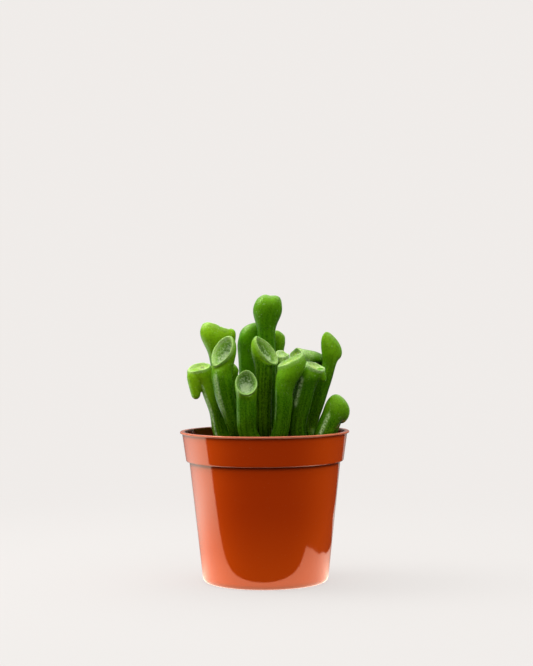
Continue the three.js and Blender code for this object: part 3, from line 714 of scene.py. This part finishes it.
def soil_crumble(look):
    """Dark damp peat with drier crumbs and fibres."""
    graph, place = new_material("crumbly potting soil")
    clod = graph.noise(place, 900, 4, 0.65)
    fibre = graph.noise(graph.stretched(place, (1, 5, 2)), 500, 3)
    base = graph.mix(graph.step(clod, 0.45, 0.7), look.peat, look.fibre)
    return graph.finish("BsdfPrincipled", {
        "Base Color": graph.mix(graph.step(fibre, 0.62, 0.7) * 0.5, base, look.fibre),
        "Roughness": clod * 0.25 + 0.65,
        "Normal": graph.bump(clod, 0.0004, 0.8),
    })


def perlite_grain(look):
    """Chalky white grain with fine pores."""
    graph, place = new_material("perlite grain")
    pores = graph.cells(place, 4200)
    stains = graph.step(graph.noise(place, 1500, 2), 0.5, 0.8)
    return graph.finish("BsdfPrincipled", {
        "Base Color": graph.mix(stains * 0.5, look.grain, look.fibre),
        "Roughness": pores * 0.2 + 0.7,
        "Normal": graph.bump(pores, 0.00015, 0.7),
    })


# The cylinders that cut the drain holes
DRILL_SIDES, DRILL_DEPTH = 40, 8 * MM
# Edges sharper than so many degrees stay sharp in the shading
SHARP_EDGE = 32


class TJ_OT_pot(bpy.types.Operator):
    """Models the pot as one wall, from its underside over the lip to its floor, and cuts the drain holes"""

    bl_idname = "trumpet_jade.pot"
    bl_label = "Pot"

    def execute(self, context):
        look = context.scene.jade_pot
        lip, top = POT_HIGH.x, POT_HIGH.z
        step = top - look.band_height
        band_top = lip - look.lip_width
        inner_floor = look.floor + look.foot_rise
        middle = look.foot_ring * 0.4
        # Each corner's radius and height, and how far along both of its sides its rounding reaches
        corners = (
            (middle, look.foot_rise, 0),
            (look.foot_ring - 0.4 * MM, look.foot_rise, 0.3 * MM),
            (look.foot_ring + 0.6 * MM, 0, 0.4 * MM),
            (look.body_foot - 0.25 * MM, 0, look.corner),
            (look.body_top, step - 0.1 * MM, 0.1 * MM),
            (look.band_foot, step, 0.45 * MM),
            (band_top, top - look.lip_height - 0.08 * MM, 0.08 * MM),
            (lip, top - look.lip_height, 0.2 * MM),
            (lip, top, 0.3 * MM),
            (band_top - look.wall, top, 0.3 * MM),
            (look.band_foot - look.wall, step + look.wall, 0.4 * MM),
            (look.body_top - look.wall, step - 0.3 * MM + look.wall, 0.3 * MM),
            (look.body_foot - look.wall, inner_floor, 1 * MM),
            (middle, inner_floor, 0),
        )
        piece = lathe("nursery_pot", rounded(corners), look.sides)
        drills = []
        for k in range(look.drain_holes):
            angle = (k + 0.5) / look.drain_holes * 2 * math.pi
            x, y = look.drain_circle * math.cos(angle), look.drain_circle * math.sin(angle)
            deselect()
            bpy.ops.mesh.primitive_cylinder_add(
                vertices=DRILL_SIDES, radius=look.drain_radius, depth=DRILL_DEPTH,
                location=(x, y, look.foot_rise),
            )
            drills.append(bpy.context.object)
        drill = join("drain drills", drills)
        apply_modifier(piece, "BOOLEAN", operation="DIFFERENCE", object=drill, solver="EXACT")
        bpy.data.objects.remove(drill)
        complete(piece, pot_plastic(look), "pot", "pot", angle=SHARP_EDGE)
        return {"FINISHED"}


# The soil's lumps, how many to the metre and how high, the rings and sides of its plug, and its lower bevel
LUMPS, LUMP_HEIGHT = 260, 0.9
SOIL_RINGS, SOIL_SIDES, SOIL_BEVEL = 30, 96, 1.1 * MM
# The loose grains: how many shapes they have, how knobbly they are, and how far out on the soil they lie
GRAIN_SHAPES, KNOBS, KNOBBLY, GRAIN_REACH = 4, 1.3, 0.55, 0.965
# The smallest and largest radius of the crumbs and of the perlite
CRUMB_SIZES, PERLITE_SIZES = (0.35 * MM, 1.15 * MM), (0.35 * MM, 0.8 * MM)
# From each grain to the next, the angle that spreads them evenly
GOLDEN_ANGLE = 2.399963
# The turn about each axis that a draw of 1 gives a grain
FULL_TURN = 6.283


def soil_height(look, x, y, radius):
    """Height of the uneven soil at a place."""
    out = min(1, math.hypot(x, y) / radius)
    lumps = noise.fractal(Vector((x, y, 0)) * LUMPS, 1.0, 2.0, 4) * LUMP_HEIGHT * MM
    return look.edge_height + look.mound * (1 - out * out) + lumps * (1 - out**8)


class TJ_OT_soil(bpy.types.Operator):
    """Models the plug of soil, with an uneven top, and scatters crumbs and perlite on it"""

    bl_idname = "trumpet_jade.soil"
    bl_label = "Soil"

    def execute(self, context):
        look, pot = context.scene.jade_soil, context.scene.jade_pot
        inner_floor = pot.floor + pot.foot_rise
        low = pot.body_foot - pot.wall - look.gap
        rise = (look.edge_height - inner_floor) / (POT_HIGH.z - pot.band_height - inner_floor)
        edge = low + (pot.body_top - pot.body_foot) * rise
        foot = inner_floor + look.gap
        outline = [(low * 0.3, foot), (low * 0.92, foot), (low, foot + SOIL_BEVEL)]
        outline += [(edge * (1 - k / SOIL_RINGS), look.edge_height) for k in range(SOIL_RINGS)]
        piece = lathe("soil_plug", outline, SOIL_SIDES)
        for vertex in piece.data.vertices:
            x, y, z = vertex.co
            if z > look.edge_height - 0.5 * MM:
                vertex.co.z = soil_height(look, x, y, edge)
        complete(piece, soil_crumble(look), "soil", "soil")
        self.scatter("soil_crumbs", look.crumbs, edge, CRUMB_SIZES, soil_crumble(look), look)
        self.scatter("perlite_grains", look.perlite, edge, PERLITE_SIZES, perlite_grain(look), look)
        return {"FINISHED"}

    def scatter(self, name, many, edge, sizes, material, look):
        """Copies a few knobbly grains over the soil, by a rule that is the same each time."""
        small, large = sizes
        shapes = [self.knobbly(Vector((k * 7, many, 0))) for k in range(GRAIN_SHAPES)]
        grains = []
        for k in range(many):
            draw = [noise.cell_vector(Vector((k * 3.1, many * 0.7, j * 5.3))) for j in range(2)]
            radius = edge * GRAIN_REACH * math.sqrt(draw[0].x)
            angle = (k * GOLDEN_ANGLE) % (2 * math.pi)
            x, y = radius * math.cos(angle), radius * math.sin(angle)
            size = small + (large - small) * draw[0].y ** 2.5
            grain = shapes[k % GRAIN_SHAPES].copy()
            grain.data = grain.data.copy()
            bpy.context.collection.objects.link(grain)
            grain.location = (x, y, soil_height(look, x, y, edge) + size * 0.25)
            grain.rotation_euler = draw[1] * FULL_TURN
            grain.scale = (size, size * (0.6 + 0.4 * draw[1].x), size * (0.5 + 0.4 * draw[0].z))
            grains.append(grain)
        for shape in shapes:
            bpy.data.objects.remove(shape)
        piece = join(name, grains)
        bpy.ops.object.transform_apply(location=True, rotation=True, scale=True)
        complete(piece, material, "soil")

    def knobbly(self, shift):
        """A ball with knobs, where the shift gives each ball its own."""
        deselect()
        bpy.ops.mesh.primitive_ico_sphere_add(subdivisions=2, radius=1)
        grain = bpy.context.object
        for vertex in grain.data.vertices:
            vertex.co *= 1 + KNOBBLY * noise.noise(vertex.co * KNOBS + shift)
        return grain


def stem_centre(stem, z):
    """The stem's axis at a height, in millimetres."""
    rise = (z - STEM_FOOT) / (stem["top"] - STEM_FOOT)
    return Vector((stem["at"][0] + stem["lean"][0] * rise, stem["at"][1] + stem["lean"][1] * rise, z))


class TJ_OT_stems(bpy.types.Operator):
    """Models the short stems, swollen at each node, with a rounded growing tip"""

    bl_idname = "trumpet_jade.stems"
    bl_label = "Stems"

    def execute(self, context):
        look = context.scene.jade_leaf
        bark = stem_bark(look)
        for name, stem in STEMS.items():
            shoulder = stem["top"] - STEM_TIP_HEIGHT
            rings = []
            for k in range(STEM_RINGS):
                rise = k / (STEM_RINGS - 1)
                swell = NODE_SWELL * math.cos(rise * NODES * 2 * math.pi) if rise > NODES_FROM else 0
                radius = STEM_LOW_RADIUS + (STEM_HIGH_RADIUS - STEM_LOW_RADIUS) * rise + swell
                radius *= 1 - max(0, rise - 1 + SHOULDER) / SHOULDER * SHOULDER_LOSS
                centre = stem_centre(stem, STEM_FOOT + (shoulder - STEM_FOOT) * rise)
                rings.append(Ring(centre * MM, long=radius * MM))
            for turn in STEM_TIP_TURNS:
                a = math.radians(turn)
                centre = stem_centre(stem, shoulder + STEM_TIP_HEIGHT * math.sin(a))
                rings.append(Ring(centre * MM, long=STEM_TIP_RADIUS * math.cos(a) * MM))
            piece = tube("jade_stem_" + name, rings, look.sides)
            apply_modifier(piece, "SUBSURF", levels=1, render_levels=1)
            complete(piece, bark, "stem", "stem_" + name)
        return {"FINISHED"}


def facing(round_by, above):
    """The direction that lies so many degrees round from the front and above level."""
    a, e = math.radians(round_by), math.radians(above)
    return Vector((math.sin(a) * math.cos(e), -math.cos(a) * math.cos(e), math.sin(e)))


def hermite(p0, m0, p1, m1, s):
    """A point on the curve from p0 to p1 that leaves along m0 and arrives along m1."""
    return (
        p0 * (2 * s**3 - 3 * s**2 + 1) + m0 * (s**3 - 2 * s**2 + s)
        + p1 * (3 * s**2 - 2 * s**3) + m1 * (s**3 - s**2)
    )


# How far before and after a point of a route its direction is measured, as a share of a span
NEARBY = 0.01


def route_point(points, t):
    """A point and its direction at a share of a smooth route through all the points."""
    spans = len(points) - 1
    k = min(int(t * spans), spans - 1)
    s = t * spans - k
    slopes = []
    for j in (k, k + 1):
        before, after = points[max(j - 1, 0)], points[min(j + 1, spans)]
        slopes.append((after - before) / (2 if 0 < j < spans else 1))
    span = points[k], slopes[0], points[k + 1], slopes[1]
    before, here, after = (hermite(*span, s + shift) for shift in (-NEARBY, 0, NEARBY))
    return here, (after - before).normalized()


# A leaf's rings: how many its body and its head have, the share of its route where its foot lies, the share
# of its body over which the foot widens, and the mark that tells the skin where the neck is
BODY_RINGS, HEAD_RINGS = 11, 8
BODY_START, FOOT_SPAN, NECK_MARK = 0.06, 0.3, 0.72
# The lip, from the rim inwards: the share of the rim's size, and of the lip's height
LIP_PROFILE = ((0.99, 0.45), (0.965, 0.85), (0.93, 1.0), (0.89, 0.8), (0.85, 0.35))
# The hollow, from its edge inwards, as shares of the rim's size
BOWL_EDGE = 0.82
BOWL_SHARES = (0.77, 0.68, 0.57, 0.44, 0.3, 0.15)


def leaf_rings(look, leaf):
    """The rings of a leaf: up its body, through the opening head, over the lip and down into the cup."""
    points = [stem_centre(STEMS[leaf["stem"]], leaf["start"]), *(Vector(p) for p in leaf["by"])]
    face, tip = facing(*leaf["face"]), Vector(leaf["tip"])
    neck, up = route_point(points, 1)
    neck_back = (tip - face).normalized()
    neck_back = (neck_back - up * neck_back.dot(up)).normalized()
    rim_back = (tip - face * tip.dot(face)).normalized()
    low, high = leaf["r"]
    rings = []
    for k in range(BODY_RINGS):
        rise = k / (BODY_RINGS - 1)
        centre, tangent = route_point(points, BODY_START + (1 - BODY_START) * rise)
        swell = look.foot + (1 - look.foot) * min(1, rise / FOOT_SPAN)
        rings.append(Ring(
            centre * MM, tangent, neck_back, (low + (high - low) * rise) * swell * MM,
            along=rise * NECK_MARK, seam=rise**2, open=0, spread=0,
        ))
    rim = Vector(leaf["cup"])
    reach = (rim - neck).length
    long, wide, deep = leaf["size"]
    long, wide = long / 2, wide / 2
    for k in range(1, HEAD_RINGS + 1):
        s = k / HEAD_RINGS
        opening = s * s * (3 - 2 * s)
        bulge = 1 + leaf.get("bulge", look.bulge) * math.sin(math.pi * s**1.4)
        # The head's last ring takes a little of the pale lip colour, as a painted sheen under the lip
        rings.append(Ring(
            hermite(neck, up * reach, rim, face * reach, s) * MM,
            up.lerp(face, s), neck_back.lerp(rim_back, s),
            (high + (long - high) * opening) * bulge * MM, (high + (wide - high) * opening) * bulge * MM,
            along=NECK_MARK + (1 - NECK_MARK) * s, seam=1 - s, open=opening, spread=opening,
            rim=0.35 if k == HEAD_RINGS else 0,
        ))
    shorten, narrow, forward, sideways = leaf.get("close", (1, 1, 0, 0))
    side = face.cross(rim_back)
    for inwards, height in (*LIP_PROFILE, *((inwards, None) for inwards in BOWL_SHARES)):
        length, width = inwards**shorten, inwards**narrow
        middle = rim + rim_back * forward * long * (1 - length) + side * sideways * wide * (1 - width)
        if height is None:
            lift = -deep * (1 - (inwards / BOWL_EDGE) ** 1.8)
            bowl = 1 - inwards / BOWL_EDGE
            marks = {"cup": min(1, 0.3 + 3 * bowl), "bowl": bowl}
        else:
            lift = leaf.get("lip", look.lip / MM) * height
            marks = {"rim": 1 if inwards < 0.98 else 0.5, "cup": 0.15 if inwards < 0.87 else 0, "lift": lift}
        rings.append(Ring(
            (middle + face * lift) * MM, face, rim_back, long * length * MM, wide * width * MM,
            along=1, seam=0, open=1, spread=inwards, **marks,
        ))
    return rings


def degrees_between(angle, place):
    """How far an angle in radians lies from a place in degrees, the short way round."""
    return abs((math.degrees(angle) - place + 180) % 360 - 180)


# How fine the waver of the skin, its crumples and the rim's uneven height are, and how high the last is
WAVERS, CRUMPLES, RIM_WAVES, RIM_UNEVEN = 150, 420, 1.4, 0.7
# The share of the leaf's length over which a pale strip fades out, and how sharp its sides are
STRIP_FADE, STRIP_EDGE = 0.08, 1.6


def strip_at(leaf, angle, along):
    """How strong the pale strips, partly dry scurf and partly painted highlight, are at a place on a leaf."""
    found = 0
    for place, half_width, low, high, strength in leaf.get("streaks", ()):
        inside = max(0, 1 - degrees_between(angle, place) / half_width)
        ends = min(1, max(0, min(along - low, high - along) / STRIP_FADE))
        found = max(found, min(1, inside * STRIP_EDGE) * ends * strength)
    return found


def shape_leaf(look, leaf, piece, rings, seed):
    """Presses the seam in, narrows and notches the head, and stores the marks that the material reads."""
    marks = {name: [] for name in MARKS}
    tone = leaf.get("tone", 0.5 + 0.5 * noise.noise(Vector((seed * 3.7, 1.1, 0))))
    for vertex in piece.data.vertices:
        ring = rings[min(vertex.index // look.sides, len(rings) - 1)]
        u, v, n = ring.axes.transposed() @ (vertex.co - ring.centre)
        angle = math.atan2(v / ring.wide, u / ring.long)
        cos, sin = math.cos(angle), math.sin(angle)
        low_end = max(0, -cos)
        opening, spread = ring.marks["open"], ring.marks["spread"]
        u *= 1 - look.seam * ring.marks["seam"] * low_end**8
        v *= 1 - leaf.get("point", look.point) * opening * max(0, cos) ** 2
        v *= 1 - leaf.get("low_pinch", 0) * opening * low_end**2
        for depth, at, half_width in leaf.get("notches", ()):
            dent = depth * MM * spread**2 * math.exp(-((degrees_between(angle, at) / half_width) ** 2))
            u, v, n = u - cos * dent, v - sin * dent, n - 0.5 * dent
        waver = noise.noise(vertex.co * WAVERS + Vector((seed * 11.3, 0, 0))) * look.waver
        n += noise.noise(Vector((cos, sin, seed * 5.1)) * RIM_WAVES) * RIM_UNEVEN * MM * spread**3
        n += leaf.get("saddle", 0) * MM * spread**3 * sin**2
        n -= leaf.get("droop", 0) * MM * spread**3 * low_end**2
        n -= (1 - leaf.get("low_lip", 1)) * ring.marks.get("lift", 0) * MM * low_end**2
        crumple = leaf.get("crumple", 0) * MM * opening
        folds = [noise.noise(vertex.co * CRUMPLES + shift * 9) for shift in (UP, RIGHT, UP + RIGHT)]
        u, v, n = (q + crumple * fold for q, fold in zip((u, v, n), folds))
        u, v = (q * (1 + waver / max(ring.long, 2 * MM)) for q in (u, v))
        vertex.co = ring.centre + ring.axes @ Vector((u, v, n))
        found = {
            **ring.marks, "streak": strip_at(leaf, angle, ring.marks["along"]), "tone": tone,
            "dry": leaf.get("dry", 0), "body_shade": leaf.get("body_shade", 0) * (1 - opening),
            "round_cos": cos, "round_sin": sin,
        }
        for name, values in marks.items():
            values.append(found.get(name, 0))
    store_marks(piece, marks)


def store_marks(piece, marks):
    """Stores a list of numbers for each mark, one for each point of the mesh."""
    for name, values in marks.items():
        piece.data.attributes.new(name, "FLOAT", "POINT").data.foreach_set("value", values)


def read_marks(piece):
    """The marks of each point of a mesh, as lists."""
    marks = {name: [0.0] * len(piece.data.vertices) for name in MARKS}
    for name, values in marks.items():
        if name in piece.data.attributes:
            piece.data.attributes[name].data.foreach_get("value", values)
    return marks


# The voxels that melt a fold into its leaf, the rounds of smoothing after that, and how many old points
# give a new one its marks
VOXEL, SMOOTH_ROUNDS, NEAREST = 0.22 * MM, 14, 4


def hanging_fold(look, lobe, tone):
    """One rounded fold of flesh, with its marks."""
    start, end = (Vector(lobe[key]) * MM for key in ("start", "end"))
    axis = (end - start).normalized()
    low, high = lobe["r"]
    rings = []
    for centre, radius, turns in ((start, low, (-80, -55, -28, 0)), (end, high, (0, 28, 55, 80))):
        for turn in turns:
            a = math.radians(turn)
            middle = centre + axis * radius * math.sin(a) * MM
            rings.append(Ring(middle, axis, Vector((0, -1, 0)), radius * math.cos(a) * MM))
    fold = tube("fold", rings, look.sides)
    apply_modifier(fold, "SUBSURF", levels=2, render_levels=2)
    found = {"along": 0.97, "tone": tone}
    store_marks(fold, {name: [found.get(name, 0.0)] * len(fold.data.vertices) for name in MARKS})
    return fold


def add_lobes(look, piece, lobes, tone):
    """Melts hanging folds of flesh into a leaf, and carries the leaf's marks over to the new skin."""
    whole = join(piece.name, [piece, *(hanging_fold(look, lobe, tone) for lobe in lobes)])
    old_marks = read_marks(whole)
    tree = KDTree(len(whole.data.vertices))
    for vertex in whole.data.vertices:
        tree.insert(vertex.co, vertex.index)
    tree.balance()
    apply_modifier(whole, "REMESH", mode="VOXEL", voxel_size=VOXEL)
    apply_modifier(whole, "SMOOTH", factor=0.5, iterations=SMOOTH_ROUNDS)
    marks = {name: [] for name in MARKS}
    for vertex in whole.data.vertices:
        near = [(index, 1 / (gap + 1e-6)) for _, index, gap in tree.find_n(vertex.co, NEAREST)]
        total = sum(weight for _, weight in near)
        for name, values in marks.items():
            values.append(sum(old_marks[name][index] * weight for index, weight in near) / total)
    store_marks(whole, marks)
    return whole


class TJ_OT_leaves(bpy.types.Operator):
    """Models each leaf as a tube that opens into its cup, smooths it, and melts its hanging folds into it"""

    bl_idname = "trumpet_jade.leaves"
    bl_label = "Leaves"

    def execute(self, context):
        look = context.scene.jade_leaf
        skin = leaf_skin(look)
        for seed, (name, leaf) in enumerate(LEAVES.items()):
            rings = leaf_rings(look, leaf)
            piece = tube("jade_leaf_" + name, rings, look.sides)
            shape_leaf(look, leaf, piece, rings, seed)
            apply_modifier(piece, "SUBSURF", levels=look.smoothing, render_levels=look.smoothing)
            if "lobes" in leaf:
                piece = add_lobes(look, piece, leaf["lobes"], leaf.get("tone", 0.5))
            complete(piece, skin, "leaf", "leaf_" + name)
        return {"FINISHED"}


class TJ_OT_stage(bpy.types.Operator):
    """Sets the pale floor and backdrop, the sheet that the gloss mirrors, the lights and the camera"""

    bl_idname = "trumpet_jade.stage"
    bl_label = "Studio"

    def execute(self, context):
        look = context.scene.jade_stage
        self.backdrop(look)
        self.sheet(look)
        self.lights(context, look)
        self.camera(context, look)
        context.scene.view_settings.view_transform = "Standard"
        return {"FINISHED"}

    def backdrop(self, look):
        """A round floor that curves up all round into a wall, so that every view has the same ground."""
        # In metres: the wall's height, its outer and inner radius, and the radius of the cove at its foot
        height, outer, wall, cove = 1.5, 1.75, 1.7, 0.6
        sides, cove_steps = 96, 12
        outline = [(0.01, -2 * MM), (outer, -2 * MM), (outer, height), (wall, height)]
        for k in range(cove_steps + 1):
            a = math.radians(90 * k / cove_steps)
            outline.append((wall - cove + cove * math.cos(a), cove * (1 - math.sin(a))))
        outline += [(0.5, 0), (0.2, 0), (0.05, 0)]
        floor = lathe("pale_backdrop", outline, sides)
        smooth(floor, 40)
        graph, place = new_material("pale paper")
        near = graph.step(graph.length(place), 0.3, 0.05)
        floor.data.materials.append(graph.finish("BsdfPrincipled", {
            "Base Color": graph.mix(near, (0, 0, 0), look.floor_colour),
            "Roughness": 1,
            "Specular IOR Level": 0,
            "Emission Color": (*look.floor_light, 1),
            "Emission Strength": look.floor_glow - near * look.shadow_share,
        }))
        hide(floor, "diffuse", "glossy", "transmission", "shadow")

    def sheet(self, look):
        """The white sheet that the pot stands on, which only gloss sees. Its edge is what the pot mirrors."""
        deselect()
        mesh = bpy.data.meshes.new("mirrored_sheet")
        above_floor = 0.05
        corners = [Vector((x, y, above_floor)) * MM for x, y in SHEET_OUTLINE]
        mesh.from_pydata(corners, [], [range(len(corners))])
        sheet = bpy.data.objects.new("mirrored_sheet", mesh)
        bpy.context.collection.objects.link(sheet)
        graph, place = new_material("bright sheet")
        x, y, _ = graph.parts(place)
        out = graph.length(place)
        away = graph.step(out, 0.03, 0.16)
        apart = graph.step(out, 0.026, 0.07)
        far = graph.step(out, 0.1, 0.5)
        behind = graph.step(graph.maths("ARCTAN2", y, graph.maths("ABSOLUTE", x) - 18 * MM), 0.25, 1.5)
        fall = (1 - apart * 0.3 + away * 0.12) * (1 - far * 0.5) * (1 - behind * 0.84)
        mesh.materials.append(graph.finish("Emission", {
            "Color": graph.mix(away, look.sheet_near, look.sheet_far), "Strength": fall * look.sheet_glow,
        }))
        hide(sheet, "camera", "diffuse", "transmission", "shadow")

    def lights(self, context, look):
        """A soft light above on the left, and a room that is bright above and behind and dim in front."""
        place, aim = Vector((-0.42, 0.06, 0.5)), Vector((0, 0, 0.06))
        key = bpy.data.lights.new("soft light", "AREA")
        key.energy = look.key
        key.size = 0.35
        lamp = bpy.data.objects.new("soft light", key)
        lamp.location = place
        lamp.rotation_euler = (aim - place).to_track_quat("-Z", "Y").to_euler()
        context.collection.objects.link(lamp)
        graph = Graph(bpy.data.worlds.new("studio"))
        across, ahead, above = graph.parts(graph.node("ShaderNodeTexCoord", output="Generated"))
        behind = graph.step(ahead + across * -0.3, -0.5, 0.8)
        soft = graph.step(above, 0.0, 0.8) * 2.0 + behind * 0.5 + 0.14
        far_wall = graph.step(ahead, 0.2, 1.0) * graph.step(above, -0.1, 0.1)
        mirrored = graph.step(above, 0.2, 0.95) * 1.1 + far_wall * 0.25
        glossy = graph.node("ShaderNodeLightPath", output="Is Glossy Ray")
        light = glossy * (mirrored + 0.02) + (1 - glossy) * soft
        context.scene.world = graph.finish("Background", {"Color": (1, 1, 1, 1), "Strength": light}, "World")

    def camera(self, context, look):
        """Stands the camera before the pot, a little above it, and turns it to frame the picture."""
        # In pixels: the picture's size, the row of its horizon, and the column of the pot's axis
        picture_width, picture_height = 533, 666
        horizon, axis = 316, 264
        roll = math.radians(0.4)
        lens = bpy.data.cameras.new("camera")
        lens.sensor_fit = "VERTICAL"
        lens.sensor_height = lens.sensor_width = 36
        lens.lens = look.focal / picture_height * lens.sensor_height
        lens.clip_start = 0.01
        pitch = math.atan((picture_height / 2 - horizon) / look.focal)
        yaw = math.atan((picture_width / 2 - axis) / look.focal)
        turn = Matrix.Rotation(-yaw, 3, "Z") @ Matrix.Rotation(math.pi / 2 - pitch, 3, "X")
        turn = turn @ Matrix.Rotation(-roll, 3, "Z")
        camera = bpy.data.objects.new("camera", lens)
        camera.matrix_world = Matrix.Translation((0, -look.distance, look.height)) @ turn.to_4x4()
        context.collection.objects.link(camera)
        context.scene.camera = camera


class TJ_PT_sidebar(bpy.types.Panel):
    """Lists the sizes and colours, and a button for each group of pieces"""

    bl_idname = "TJ_PT_sidebar"
    bl_label = "Trumpet jade"
    bl_space_type = "VIEW_3D"
    bl_region_type = "UI"
    bl_category = "Trumpet jade"

    def draw(self, context):
        for name, (_, *operators) in GROUPS.items():
            for operator in operators:
                self.layout.operator(operator.bl_idname)
            settings = getattr(context.scene, name)
            for key in settings.__annotations__:
                self.layout.prop(settings, key)


# The scene's settings, each with its class and the operators that read it
GROUPS = {
    "jade_stage": (JadeStage, TJ_OT_stage),
    "jade_pot": (JadePot, TJ_OT_pot),
    "jade_soil": (JadeSoil, TJ_OT_soil),
    "jade_leaf": (JadeLeaf, TJ_OT_stems, TJ_OT_leaves),
}


def register():
    for name, classes in GROUPS.items():
        for made in classes:
            bpy.utils.register_class(made)
        setattr(bpy.types.Scene, name, PointerProperty(type=classes[0]))
    bpy.utils.register_class(TJ_PT_sidebar)


def unregister():
    bpy.utils.unregister_class(TJ_PT_sidebar)
    for name, classes in GROUPS.items():
        delattr(bpy.types.Scene, name)
        for made in reversed(classes):
            bpy.utils.unregister_class(made)


def main():
    register()
    bpy.ops.trumpet_jade.stage()
    bpy.ops.trumpet_jade.pot()
    bpy.ops.trumpet_jade.soil()
    bpy.ops.trumpet_jade.stems()
    bpy.ops.trumpet_jade.leaves()


if __name__ == "__main__":
    main()
